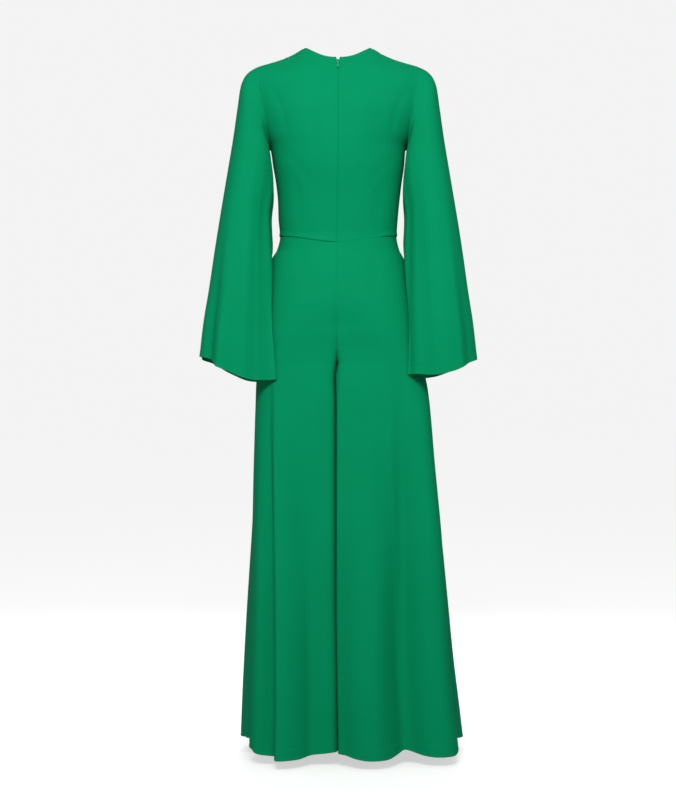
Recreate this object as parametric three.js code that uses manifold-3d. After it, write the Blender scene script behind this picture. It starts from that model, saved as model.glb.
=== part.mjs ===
// Wide-legged jumpsuit with long bell sleeves, a round neck and a concealed
// centre-back zip, holding the form it has when it is worn.
// Millimetres, +Z up. The front faces -Y, so the wearer's left is +X.
// The origin is midway between the two points where the shoulder seams meet
// the neckline: the garment hangs from there, and its hem is at about z -1552.
import * as THREE from 'three';
import { mergeVertices } from 'three/addons/utils/BufferGeometryUtils.js';
import Module from 'manifold-3d';

// ---------------------------------------------------------------- sizes
const WALL = 2.0;          // thickness of every cloth wall
const SEAM = 0.3;          // gap between two sewn edges
const NECK_HALF = 73;      // centre to shoulder-neck point
const TIP_X = 174;         // centre to the end of the shoulder seam
const TIP_Z = -40;         // height of the end of the shoulder seam
const UNDERARM_Z = -225;   // lowest point of the armhole
const NECK_BACK_Z = -31;   // neckline at centre back
const NECK_FRONT_Z = -88;  // neckline at centre front
const WAIST_SIDE_Z = -418; // waist seam at the side seams
const WAIST_BACK_DIP = 19; // how much lower the waist seam is at centre back
const CROTCH_Z = -705;     // fork of the legs
const HEM_Z = -1550;       // trouser hem
const RIDGE_BACK = 6;      // the shoulder seam lies this far behind y = 0
const SHOULDER_ROUND = 64; // rounding of the shoulder from ridge to back
const NOTCH_WIDE = 4.2;    // half opening of the notch above the zip
const NOTCH_DEEP = 13;     // depth of that notch
const ZIP_END_Z = -560;    // lower end of the zip
const TAPE_HALF = 11;      // half width of the two zip tapes together
const TAPE_THICK = 0.8;
const TAPE_BEHIND = 0.7;   // air between the cloth and the zip tapes
const SLIDER_Z = -46;      // height of the slider's hinge
const SLIDER_WIDE = 4.6;
const SLIDER_LONG = 8.5;
const SLIDER_THICK = 1.6;
const SLIDER_OFF = 0.4;    // air between the cloth and the slider
const HINGE_UP = 1.0;      // hinge line above the slider's face
const BAIL_IN = 1.0;       // loop of the slider that the pull hangs from
const BAIL_OUT = 1.8;
const BAIL_WIDE = 1.2;
const PULL_LONG = 15;      // hinge line to the tip of the pull
const PULL_WIDE = 4.4;
const PULL_THICK = 0.9;
const EYE_HALF = 1.05;     // opening of the pull's eye
const EYE_END = 2.7;
const SLEEVE_CLEAR = 7;    // air between a sleeve and the body of the garment
const INSIDE_SLANT = 5;    // how far the inside legs slant across the middle
const DEG = Math.PI / 180;

// Half widths and depths of the body of the garment, from the shoulders to
// the hem. left and right are measured from the centre seam to the outline;
// inner is how far each half of the trousers reaches back past the seam.
const BODY = [
  { z: 20,    left: 222, right: 222, back: 58,  front: 42,  inner: -222, n: 2.3 },
  { z: -31,   left: 218, right: 218, back: 69,  front: 53,  inner: -218, n: 2.3 },
  { z: -60,   left: 214, right: 214, back: 82,  front: 64,  inner: -214, n: 2.3 },
  { z: -100,  left: 206, right: 206, back: 96,  front: 82,  inner: -206, n: 2.3 },
  { z: -150,  left: 189, right: 189, back: 106, front: 103, inner: -189, n: 2.3 },
  { z: -200,  left: 163, right: 163, back: 108, front: 121, inner: -163, n: 2.3 },
  { z: -225,  left: 150, right: 150, back: 107, front: 127, inner: -150, n: 2.3 },
  { z: -262,  left: 144, right: 147, back: 104, front: 129, inner: -144, n: 2.3 },
  { z: -300,  left: 137, right: 142, back: 98,  front: 120, inner: -137, n: 2.3 },
  { z: -340,  left: 132, right: 138, back: 91,  front: 105, inner: -132, n: 2.3 },
  { z: -380,  left: 130, right: 135, back: 86,  front: 91,  inner: -130, n: 2.3 },
  { z: -418,  left: 126, right: 133, back: 83,  front: 83,  inner: -126, n: 2.3 },
  { z: -447,  left: 132, right: 139, back: 86,  front: 85,  inner: -132, n: 2.3 },
  { z: -468,  left: 144, right: 150, back: 92,  front: 89,  inner: -144, n: 2.3 },
  { z: -520,  left: 155, right: 164, back: 105, front: 96,  inner: -138, n: 2.35 },
  { z: -580,  left: 163, right: 175, back: 111, front: 101, inner: -112, n: 2.45 },
  { z: -630,  left: 168, right: 182, back: 109, front: 104, inner: -70,  n: 2.5 },
  { z: -670,  left: 172, right: 187, back: 104, front: 106, inner: -33,  n: 2.55 },
  { z: -695,  left: 175, right: 190, back: 102, front: 107, inner: -7,   n: 2.6 },
  { z: -705,  left: 176, right: 191, back: 102, front: 108, inner: 1.0,  n: 2.6 },
  { z: -760,  left: 182, right: 199, back: 102, front: 110, inner: 1.2,  n: 2.6 },
  { z: -914,  left: 188, right: 211, back: 106, front: 116, inner: 1.2,  n: 2.6 },
  { z: -1092, left: 194, right: 226, back: 111, front: 125, inner: 1.2,  n: 2.6 },
  { z: -1226, left: 199, right: 233, back: 114, front: 132, inner: 1.2,  n: 2.6 },
  { z: -1359, left: 205, right: 239, back: 117, front: 140, inner: 1.2,  n: 2.5 },
  { z: -1560, left: 213, right: 257, back: 122, front: 150, inner: 1.5,  n: 2.5 },
];

// The centre seam wanders a little to one side as the garment hangs.
const CENTRE = [
  { z: 20, x: 0 }, { z: -230, x: 0 }, { z: -437, x: 3 }, { z: -640, x: 4 },
  { z: -705, x: 2 }, { z: -800, x: -1 }, { z: -1000, x: -2 }, { z: -1200, x: -3 },
  { z: -1400, x: -6 }, { z: -1560, x: -8 },
];

// Top line of the shoulders, and how far across the armhole seam lies.
const SHOULDER = [
  { x: 0, z: 12 }, { x: 40, z: 9 }, { x: NECK_HALF, z: 0 }, { x: 102, z: -16 },
  { x: 129, z: -27 }, { x: 156, z: -35 }, { x: TIP_X, z: TIP_Z }, { x: 240, z: -56 },
];
const ARMHOLE = [
  { z: TIP_Z, back: TIP_X, front: TIP_X }, { z: -75, back: 171, front: 167 },
  { z: -115, back: 166, front: 160 }, { z: -160, back: 161, front: 155 },
  { z: -200, back: 155, front: 152 }, { z: UNDERARM_Z, back: 150, front: 150 },
];

// Sleeve sections from armhole to hem: the outer and inner ends of each
// section, its middle and half depth from front to back, its squareness, and
// how much lower than those ends its back and front hang.
const SLEEVE = [
  { k: 0,  xo: 174, zo: -40,  xi: 150, zi: -225, y: 0,  deep: 60,  n: 2.0,  drop: 0 },
  { k: 1,  xo: 197, zo: -51,  xi: 147, zi: -240, y: 1,  deep: 62,  n: 2.15, drop: 0 },
  { k: 2,  xo: 215, zo: -83,  xi: 140, zi: -258, y: 2,  deep: 66,  n: 2.5,  drop: 0 },
  { k: 3,  xo: 223, zo: -135, xi: 138, zi: -286, y: 4,  deep: 70,  n: 2.55, drop: 0 },
  { k: 4,  xo: 232, zo: -200, xi: 140, zi: -327, y: 6,  deep: 75,  n: 2.55, drop: 1 },
  { k: 5,  xo: 246, zo: -285, xi: 147, zi: -380, y: 8,  deep: 80,  n: 2.5,  drop: 3 },
  { k: 6,  xo: 259, zo: -365, xi: 144, zi: -440, y: 11, deep: 85,  n: 2.6,  drop: 6 },
  { k: 7,  xo: 272, zo: -450, xi: 139, zi: -505, y: 14, deep: 91,  n: 2.8,  drop: 10 },
  { k: 8,  xo: 284, zo: -535, xi: 133, zi: -575, y: 17, deep: 98,  n: 3.0,  drop: 15 },
  { k: 9,  xo: 296, zo: -612, xi: 129, zi: -645, y: 20, deep: 104, n: 3.2,  drop: 21 },
  { k: 10, xo: 304, zo: -684, xi: 126, zi: -714, y: 22, deep: 109, n: 3.3,  drop: 27 },
];

// Largest folds. at is the place round the tube in degrees: for a leg, 0 is
// the side seam, 90 the middle of the back, 180 the inside leg, 270 the front.
// low and high are the half widths on the two sides, rise is outwards.
const LEG_FOLDS = [
  { leg: 'left',  at: 65,  shift: 13.5, low: 8, high: 34, rise: 38,  top: -600, full: -1500 },
  { leg: 'left',  at: 50,  shift: 4,   low: 14, high: 12, rise: 2.5, top: -640, full: -1200 },
  { leg: 'left',  at: 110, shift: 0,   low: 14, high: 13, rise: -5,  top: -760, full: -1300 },
  { leg: 'left',  at: 24,  shift: 0,   low: 26, high: 20, rise: -16, top: -900, full: -1550 },
  { leg: 'left',  at: 318, shift: 0,   low: 26, high: 24, rise: 30,  top: -700, full: -1550 },
  { leg: 'left',  at: 284, shift: 2,   low: 20, high: 18, rise: -20, top: -640, full: -1400 },
  { leg: 'left',  at: 248, shift: 2,   low: 24, high: 26, rise: 24,  top: -700, full: -1550 },
  { leg: 'right', at: 112, shift: 0,   low: 26, high: 34, rise: 40,  top: -640, full: -1550 },
  { leg: 'right', at: 60,  shift: 24,  low: 24, high: 24, rise: -20, top: -560, full: -1450 },
  { leg: 'right', at: 44,  shift: 4,   low: 26, high: 22, rise: 13,  top: -640, full: -1400 },
  { leg: 'right', at: 322, shift: 2,   low: 24, high: 22, rise: 30,  top: -720, full: -1550 },
  { leg: 'right', at: 290, shift: -2,  low: 22, high: 20, rise: -24, top: -640, full: -1450 },
  { leg: 'right', at: 254, shift: 0,   low: 26, high: 28, rise: 26,  top: -700, full: -1550 },
];
// For a sleeve, 0 is the outer line, 90 the back, 180 the inside, 270 the front.
const SLEEVE_FOLDS = [
  { at: 118, low: 24, high: 20, rise: -5, top: 2, full: 7 },
  { at: 44,  low: 18, high: 16, rise: -7, top: 5, full: 10 },
  { at: 244, low: 22, high: 24, rise: -6, top: 3, full: 8 },
  { at: 312, low: 20, high: 18, rise: -7, top: 4, full: 9 },
];

// Extra squareness of the legs where they face each other, and at their outer
// corners; the right leg comes forward more sharply than the left.
const INSIDE_SQUARE = { 1: 4, '-1': 6 };
const OUTSIDE_SQUARE = { 1: 0.6, '-1': 1.5 };

// How far the hem of a leg lifts, and how far the hem of a sleeve hangs below
// its two ends, at places round the tube in degrees.
const pairs = (list) => list.map(([at, by]) => ({ at, by }));
const HEM_LIFT = {
  1: pairs([[0, 19], [18, 22], [34, 16], [46, 13.5], [52, 6], [60, 2], [70, 0], [84, 0], [95, 0], [105, 3], [118, 7],
    [130, 10], [150, 11], [180, 9], [200, 10], [222, 11], [245, 3], [262, 0], [280, 7], [300, 11], [322, 5],
    [342, 14], [360, 19]]),
  '-1': pairs([[0, 14], [18, 13], [34, 8], [46, 1.5], [58, 1], [66, 3], [76, 9], [85, 13], [94, 6], [102, 0], [112, 0],
    [122, 3], [131, 8], [155, 11], [180, 9], [205, 10], [226, 11], [248, 2], [268, 1], [290, 9], [306, 9],
    [328, 3], [345, 10], [360, 14]]),
};
const HEM_DROP = {
  1: pairs([[0, 0], [30, 2], [52, 7], [57, 9], [61, 15], [75, 22], [90, 29.5], [107, 33], [122, 30], [150, 21],
    [180, 10], [210, 21], [240, 32], [262, 36], [285, 28], [310, 14], [340, 3], [360, 0]]),
  '-1': pairs([[0, 0], [20, 7], [35, 11.5], [50, 16.5], [72, 24], [92, 25.6], [105, 23.5], [128, 15], [150, 11],
    [180, 8], [215, 18], [245, 26], [268, 28], [295, 22], [325, 9], [345, 2], [360, 0]]),
};

// How finely the cloth is divided.
const BODICE_ACROSS = 9;    // centre seam to armhole
const BODICE_SIDE_ROWS = 5; // waist to underarm
const ARMHOLE_ROWS = 11;    // underarm to shoulder end
const LEG_ACROSS = 12;
const LEG_ROWS = [WAIST_SIDE_Z, -445, -470, -510, -560, -610, -650, -682, -699, CROTCH_Z,
  -750, -850, -970, -1100, -1240, -1390, HEM_Z];
const SLEEVE_ROWS = [0, 0.9, 1.5, 2.2, 3, 4, 5, 6, 7, 8, 9, 10];

// ---------------------------------------------------------------- tables
const clamp = (v, lo = 0, hi = 1) => Math.min(hi, Math.max(lo, v));
const smooth = (t) => { const c = clamp(t); return c * c * (3 - 2 * c); };
const lerp = (a, b, t) => a + (b - a) * t;

// Smooth curve through one column of a table, without overshoot.
function column(rows, along, key) {
  const sorted = [...rows].sort((p, q) => p[along] - q[along]);
  const xs = sorted.map((r) => r[along]);
  const ys = sorted.map((r) => r[key]);
  const gaps = xs.slice(1).map((x, i) => (ys[i + 1] - ys[i]) / (x - xs[i]));
  const slope = ys.map((_, i) => {
    if (i === 0) return gaps[0];
    if (i === ys.length - 1) return gaps[i - 1];
    return gaps[i - 1] * gaps[i] <= 0 ? 0 : (2 * gaps[i - 1] * gaps[i]) / (gaps[i - 1] + gaps[i]);
  });
  return (at) => {
    const x = clamp(at, xs[0], xs[xs.length - 1]);
    let i = 0;
    while (i < xs.length - 2 && x > xs[i + 1]) i += 1;
    const h = xs[i + 1] - xs[i];
    const t = (x - xs[i]) / h;
    const t2 = t * t;
    const t3 = t2 * t;
    return (2 * t3 - 3 * t2 + 1) * ys[i] + (t3 - 2 * t2 + t) * h * slope[i]
      + (3 * t2 - 2 * t3) * ys[i + 1] + (t3 - t2) * h * slope[i + 1];
  };
}
const body = Object.fromEntries(['left', 'right', 'back', 'front', 'inner', 'n']
  .map((key) => [key, column(BODY, 'z', key)]));
const centre = column(CENTRE, 'z', 'x');
const shoulderZ = column(SHOULDER, 'x', 'z');
const armholeX = { back: column(ARMHOLE, 'z', 'back'), front: column(ARMHOLE, 'z', 'front') };
const sleeve = Object.fromEntries(['xo', 'zo', 'xi', 'zi', 'y', 'deep', 'n', 'drop']
  .map((key) => [key, column(SLEEVE, 'k', key)]));

const hemLift = { 1: column(HEM_LIFT[1], 'at', 'by'), '-1': column(HEM_LIFT['-1'], 'at', 'by') };
const hemDrop = { 1: column(HEM_DROP[1], 'at', 'by'), '-1': column(HEM_DROP['-1'], 'at', 'by') };

// ---------------------------------------------------------------- surfaces
const half = (side, z) => (side > 0 ? body.left(z) : body.right(z));
const depth = (face, z) => (face === 'back' ? body.back(z) : body.front(z));
const toward = (face) => (face === 'back' ? 1 : -1);

// Distance from the middle of a rounded section with half sizes a and b.
const reach = (c, s, a, b, n) => (Math.abs(c / a) ** n + Math.abs(s / b) ** n) ** (-1 / n);

// Waist seam: level in front and at the sides, lower towards centre back.
const waistZ = (face, alpha) => WAIST_SIDE_Z
  - (face === 'back' ? WAIST_BACK_DIP * Math.cos(alpha) ** 2 : 0);

// Torso above the waist: depth of the cloth at one place across and up.
function torsoY(face, side, x, z) {
  const n = body.n(z);
  const t = clamp(Math.abs(x) / half(side, z));
  const y = toward(face) * depth(face, z) * (1 - t ** n) ** (1 / n);
  const drop = clamp((shoulderZ(Math.abs(x)) - z) / SHOULDER_ROUND);
  return RIDGE_BACK + (y - RIDGE_BACK) * Math.sqrt(1 - (1 - drop) ** 2);
}

// Heights of the outer edge of a bodice panel: side seam, then armhole.
const ROWS_UP = BODICE_SIDE_ROWS + ARMHOLE_ROWS;
function edgeZ(v) {
  const row = v * ROWS_UP;
  if (row <= BODICE_SIDE_ROWS) return lerp(WAIST_SIDE_Z, UNDERARM_Z, row / BODICE_SIDE_ROWS);
  const turn = ((row - BODICE_SIDE_ROWS) / ARMHOLE_ROWS) * Math.PI;
  return lerp(UNDERARM_Z, TIP_Z, (1 - Math.cos(turn)) / 2);
}

// Upper edge of a bodice panel: neckline, then shoulder seam.
const NECK_SHARE = 4 / BODICE_ACROSS;
function topEdge(face, u) {
  if (u < NECK_SHARE) {
    const t = Math.sin(((u / NECK_SHARE) * Math.PI) / 2);
    const low = face === 'back' ? NECK_BACK_Z : NECK_FRONT_Z;
    const fall = face === 'back' ? (1 - t ** 2.2) : Math.sqrt(Math.max(0, 1 - t ** 2.4));
    return { x: NECK_HALF * t, z: low * fall };
  }
  const x = lerp(NECK_HALF, TIP_X, (u - NECK_SHARE) / (1 - NECK_SHARE));
  return { x, z: shoulderZ(x) };
}

function bodice(face, side, u, v) {
  const zEdge = edgeZ(v);
  const low = v * ROWS_UP <= BODICE_SIDE_ROWS;
  const wide = half(side, zEdge);
  const xEdge = low ? wide : Math.min(wide, armholeX[face](zEdge));
  const n = body.n(zEdge);
  const b = depth(face, zEdge);
  const yEdge = b * (1 - clamp(xEdge / wide) ** n) ** (1 / n);
  const alphaEdge = Math.atan2(xEdge, yEdge);
  const alpha = u * alphaEdge;
  const ringX = reach(Math.sin(alpha), Math.cos(alpha), wide, b, n) * Math.sin(alpha);
  const top = topEdge(face, u);
  const share = smooth((v - 0.45) / 0.55);
  const across = lerp(ringX / xEdge, top.x / TIP_X, share);
  const bottom = waistZ(face, (u * Math.PI) / 2);
  const up = (zEdge - WAIST_SIDE_Z) / (TIP_Z - WAIST_SIDE_Z);
  const z = lerp(bottom, top.z, up);
  const x = across * xEdge * lerp(half(side, z) / wide, 1, share);
  return new THREE.Vector3(side * x + centre(z), torsoY(face, side, x, z), z);
}

function foldsAt(rows, at, along) {
  let sum = 0;
  for (const f of rows) {
    const grown = smooth((along - f.top) / (f.full - f.top));
    let off = at - (f.at + (f.shift ?? 0) * grown);
    off = ((off + 540) % 360) - 180;
    const t = clamp(Math.abs(off) / (off < 0 ? f.low : f.high));
    sum += f.rise * grown * (0.5 + 0.5 * Math.cos(Math.PI * t));
  }
  return sum;
}

// Middle and half width of one leg's section, from the centre seam.
function legWidth(side, z) {
  const outer = half(side, z);
  const inner = body.inner(z) * (body.inner(z) < 0 ? outer / half(1, z) : 1);
  return { mid: (outer + inner) / 2, a: (outer - inner) / 2 };
}

const legFolds = { 1: LEG_FOLDS.filter((f) => f.leg === 'left'), '-1': LEG_FOLDS.filter((f) => f.leg === 'right') };
function legRadius(side, beta, z) {
  const square = Math.cos(beta) < 0 ? INSIDE_SQUARE[side] * smooth((CROTCH_Z - z) / 60)
    : OUTSIDE_SQUARE[side] * smooth((-620 - z) / 260);
  return reach(Math.cos(beta), Math.sin(beta), legWidth(side, z).a, depth(Math.sin(beta) >= 0 ? 'back' : 'front', z), body.n(z) + square)
    + foldsAt(legFolds[side], (beta / DEG + 360) % 360, z);
}

// One leg, with the half of the seat above it. beta runs from the side seam
// over the back to the inside leg, and on over the front.
function leg(side, beta, z) {
  const r = legRadius(side, beta, z);
  return { x: legWidth(side, z).mid + r * Math.cos(beta), y: r * Math.sin(beta) };
}

// Angle at which a trouser half reaches the centre seam, or the inside leg.
function legEnd(side, face, z) {
  const s = toward(face);
  if (leg(side, Math.PI, z).x > 0) return s * Math.PI;
  let lo = Math.PI / 2 - 0.05;
  let hi = Math.PI;
  for (let i = 0; i < 40; i += 1) {
    const m = (lo + hi) / 2;
    if (leg(side, s * m, z).x > 0) lo = m; else hi = m;
  }
  return s * lo;
}

const legRow = column(LEG_ROWS.map((z, row) => ({ row, z })), 'row', 'z');
// Height of a row of the trousers at one place round the leg: the rows near
// the waist dip towards centre back with the waist seam.
function legHeight(face, beta, level) {
  const dip = waistZ(face, Math.PI / 2 - Math.abs(beta)) - WAIST_SIDE_Z;
  return level + dip * smooth((level + 640) / (640 + WAIST_SIDE_Z));
}
// Below the fork the two inside legs slant together across the middle.
function legPoint(face, side, beta, level) {
  const z = legHeight(face, beta, level);
  const p = leg(side, beta, z);
  const slant = INSIDE_SLANT * Math.tanh(p.y / 20) * Math.exp(-((p.x / 60) ** 2)) * smooth((CROTCH_Z - z) / 60);
  const lift = hemLift[side]((beta / DEG + 360) % 360) * smooth((-1300 - z) / 250);
  return new THREE.Vector3(side * p.x + centre(z) + slant, p.y, z + lift);
}
// Most columns fan out evenly from the side seam. The last few reach the
// centre seam or the inside leg, which turn under quickly at the fork.
const FAN_SHARE = 0.75;
function trouserAngle(face, side, u, level) {
  const z = legHeight(face, u * Math.PI / 2, level);
  const down = clamp((WAIST_SIDE_Z - level) / (WAIST_SIDE_Z - CROTCH_Z));
  const fan = toward(face) * lerp(66, 134, down ** 3) * DEG;
  if (u <= FAN_SHARE) return (u / FAN_SHARE) * fan;
  return lerp(fan, legEnd(side, face, z), (u - FAN_SHARE) / (1 - FAN_SHARE));
}
function trouser(face, side, u, v) {
  const level = legRow(v * (LEG_ROWS.length - 1));
  return legPoint(face, side, trouserAngle(face, side, u, level), level);
}
function trouserNormal(face, side, u, v) {
  const level = legRow(v * (LEG_ROWS.length - 1));
  const beta = trouserAngle(face, side, u, level);
  const around = legPoint(face, side, beta + 1e-3, level).sub(legPoint(face, side, beta - 1e-3, level));
  const down = legPoint(face, side, beta, level - 0.05).sub(legPoint(face, side, beta, level + 0.05));
  return around.cross(down).normalize();
}

// Moves a place beside the body of the garment straight out from the middle
// of the section there, until it is clear of it. x is measured outwards.
const ROOM = 8;
function clearOfBody(side, x, y, z, clear) {
  const shift = side * centre(z);
  const mid = z > WAIST_SIDE_Z ? 0 : legWidth(side, z).mid;
  const dx = x - shift - mid;
  const beta = Math.atan2(y, dx);
  const limit = clear + (z > WAIST_SIDE_Z
    ? reach(Math.cos(beta), Math.sin(beta), half(side, z), depth(y >= 0 ? 'back' : 'front', z), body.n(z))
    : legRadius(side, beta, z));
  const r = Math.hypot(dx, y);
  if (r >= limit + ROOM) return { x, y };
  const out = limit + ROOM * Math.exp((r - limit - ROOM) / ROOM);
  return { x: mid + shift + out * Math.cos(beta), y: out * Math.sin(beta) };
}

function armholePoint(side, turn) {
  // turn 0 is the shoulder end, 0.5 the underarm, rising again over the front
  const face = turn <= 0.5 ? 'back' : 'front';
  const down = turn <= 0.5 ? turn * 2 : 2 - turn * 2;
  const v = (BODICE_SIDE_ROWS + ARMHOLE_ROWS * (1 - down)) / ROWS_UP;
  return bodice(face, side, 1, v);
}

function sleeveTube(side, place, k) {
  const turn = ((place % 1) + 1) % 1;
  const theta = turn * 2 * Math.PI;
  const n = sleeve.n(k);
  const c = Math.cos(theta);
  const s = Math.sin(theta);
  const r = (Math.abs(c) ** n + Math.abs(s) ** n) ** (-1 / n);
  const xo = sleeve.xo(k) + (side < 0 ? 2.5 - 4.5 * smooth((k - 6) / 4) : 0);
  const xi = sleeve.xi(k) + (side < 0 ? 15 * smooth((k - 5.5) / 4.5) : 0);
  const midX = (xo + xi) / 2;
  const midZ = (sleeve.zo(k) + sleeve.zi(k)) / 2;
  const grow = 1 + foldsAt(SLEEVE_FOLDS, (theta / DEG + 360) % 360, k) / 80;
  let x = midX + ((xo - xi) / 2) * r * c * grow;
  const y = sleeve.y(k) + sleeve.deep(k) * r * s * grow;
  const z = midZ + ((sleeve.zo(k) - sleeve.zi(k)) / 2) * r * c
    - (sleeve.drop(k) / 27) * hemDrop[side]((theta / DEG + 360) % 360);
  const free = smooth(k / 1.5);
  const hole = armholePoint(side, turn);
  x = lerp(side * hole.x, x, free);
  const yy = lerp(hole.y, y, free);
  const zz = lerp(hole.z, z, free);
  let out = { x, y: yy };
  if (k > 0) {
    const clear = clearOfBody(side, x, yy, zz, lerp(0.9, SLEEVE_CLEAR, smooth(k / 2)));
    const held = smooth((-150 - zz) / 40);
    out = { x: lerp(x, clear.x, held), y: lerp(yy, clear.y, held) };
  }
  return new THREE.Vector3(side * out.x, out.y, zz);
}

// ---------------------------------------------------------------- cloth walls
// A panel is a grid of points on its outer face, and the same grid moved in
// by the wall. loop closes it into a tube. trim names the sewn edges, which
// stop short by half of the seam gap. rising is the way the narrow faces of
// the last edge are split, so that they lie against the piece beside them.
function clothPanel({ at, us, vs, loop = false, trim = [], outward, mitre, normalAt, rising = false, wall = WALL, lift = 0 }) {
  const nu = us.length;
  const nv = vs.length;
  const step = 1e-4;
  const outer = [];
  const inner = [];
  for (let j = 0; j < nv; j += 1) {
    for (let i = 0; i < nu; i += 1) {
      const p = at(us[i], vs[j]);
      const uA = loop ? us[i] - step : clamp(us[i] - step, us[0], us[nu - 1]);
      const uB = loop ? us[i] + step : clamp(us[i] + step, us[0], us[nu - 1]);
      const vA = clamp(vs[j] - step, vs[0], vs[nv - 1]);
      const vB = clamp(vs[j] + step, vs[0], vs[nv - 1]);
      const du = at(uB, vs[j]).sub(at(uA, vs[j]));
      const dv = at(us[i], vB).sub(at(us[i], vA));
      let normal = normalAt ? normalAt(us[i], vs[j]) : du.cross(dv).normalize();
      if (normal.dot(outward(p, us[i], vs[j])) < 0) normal.negate();
      if (mitre) normal = mitre(normal, i, j, p) ?? normal;
      outer.push(p);
      inner.push(normal);
    }
  }
  const id = (i, j) => j * nu + i;
  const moved = outer.map((p) => p.clone());
  const pull = (i, j, i2, j2) => {
    const to = outer[id(i2, j2)].clone().sub(outer[id(i, j)]).normalize();
    moved[id(i, j)].addScaledVector(to, SEAM / 2);
  };
  for (let j = 0; j < nv; j += 1) {
    if (trim.includes('u0')) pull(0, j, 1, j);
    if (trim.includes('u1')) pull(nu - 1, j, nu - 2, j);
  }
  for (let i = 0; i < nu; i += 1) {
    if (trim.includes('v0')) pull(i, 0, i, 1);
    if (trim.includes('v1')) pull(i, nv - 1, i, nv - 2);
  }
  const points = [];
  moved.forEach((p, k) => points.push(p.clone().addScaledVector(inner[k], -lift)));
  moved.forEach((p, k) => points.push(p.clone().addScaledVector(inner[k], -lift - wall * (inner[k].stretch ?? 1))));
  const total = nu * nv;
  const faces = [];
  const quad = (a, b, c, d) => { faces.push(a, b, c, a, c, d); };
  const columns = loop ? nu : nu - 1;
  for (let j = 0; j < nv - 1; j += 1) {
    for (let i = 0; i < columns; i += 1) {
      const i2 = (i + 1) % nu;
      quad(id(i, j), id(i2, j), id(i2, j + 1), id(i, j + 1));
      quad(total + id(i2, j + 1), total + id(i2, j), total + id(i, j), total + id(i, j + 1));
    }
  }
  for (let i = 0; i < columns; i += 1) {
    const i2 = (i + 1) % nu;
    quad(id(i2, 0), id(i, 0), total + id(i, 0), total + id(i2, 0));
    quad(id(i, nv - 1), id(i2, nv - 1), total + id(i2, nv - 1), total + id(i, nv - 1));
  }
  if (!loop) {
    for (let j = 0; j < nv - 1; j += 1) {
      quad(id(0, j + 1), total + id(0, j + 1), total + id(0, j), id(0, j));
      if (rising) quad(id(nu - 1, j), total + id(nu - 1, j), total + id(nu - 1, j + 1), id(nu - 1, j + 1));
      else quad(id(nu - 1, j + 1), id(nu - 1, j), total + id(nu - 1, j), total + id(nu - 1, j + 1));
    }
  }
  return solid(points, faces);
}

function signedVolume(points, faces) {
  let v = 0;
  for (let i = 0; i < faces.length; i += 3) {
    v += points[faces[i]].dot(points[faces[i + 1]].clone().cross(points[faces[i + 2]])) / 6;
  }
  return v;
}

function solid(points, faces) {
  const index = [...faces];
  if (signedVolume(points, faces) < 0) {
    for (let i = 0; i < index.length; i += 3) [index[i + 1], index[i + 2]] = [index[i + 2], index[i + 1]];
  }
  const geometry = new THREE.BufferGeometry();
  geometry.setAttribute('position', new THREE.Float32BufferAttribute(points.flatMap((p) => p.toArray()), 3));
  geometry.setIndex(index);
  geometry.computeVertexNormals();
  return geometry;
}

const evenly = (from, to, steps) => Array.from({ length: steps + 1 }, (_, i) => lerp(from, to, i / steps));

// ---------------------------------------------------------------- pieces
const jumpsuit = new THREE.Group();
function add(name, geometry, color, roughness = 0.8, metalness = 0) {
  const mesh = new THREE.Mesh(geometry, new THREE.MeshStandardMaterial({ color, roughness, metalness }));
  mesh.name = name;
  jumpsuit.add(mesh);
  return mesh;
}
const GREEN = 0x029058;
const upRows = evenly(0, 1, ROWS_UP);
const AROUND = 2 * ARMHOLE_ROWS;

// Where the cloth bends outwards over the shoulder, bodice and sleeve share
// the bisector of their directions, so that their cut edges lie face to face.
// Where the sleeve turns away from the body, each keeps its own direction.
function armholeNormals(side, face, row) {
  const down = 1 - (row - BODICE_SIDE_ROWS) / ARMHOLE_ROWS;
  const turn = face === 'back' ? down / 2 : 1 - down / 2;
  const v = row / ROWS_UP;
  const e = 2e-3;
  const edge = bodice(face, side, 1, v);
  const bodyAcross = edge.clone().sub(bodice(face, side, 1 - 1 / BODICE_ACROSS, v));
  const along = sleeveTube(side, turn + e, 0).sub(sleeveTube(side, turn - e, 0));
  const leave = sleeveTube(side, turn, SLEEVE_ROWS[1]).sub(edge);
  const nBody = bodyAcross.cross(along).normalize();
  if (nBody.dot(new THREE.Vector3(side * 60, toward(face) * 60, 40)) < 0) nBody.negate();
  const nSleeve = leave.cross(along).normalize();
  const middle = new THREE.Vector3(side * 168, 0, -134);
  if (nSleeve.dot(edge.clone().sub(middle)) < 0) nSleeve.negate();
  if (leave.normalize().dot(nBody) > 0.03 || nBody.dot(nSleeve) < 0.05) return { body: nBody, sleeve: nSleeve };
  const shared = nBody.clone().add(nSleeve).normalize();
  return { body: shared, sleeve: shared };
}
const armholeMitre = (side, face, lastColumn) => (n, i, j) => (
  i === lastColumn && j >= BODICE_SIDE_ROWS ? armholeNormals(side, face, j).body : n);

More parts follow.
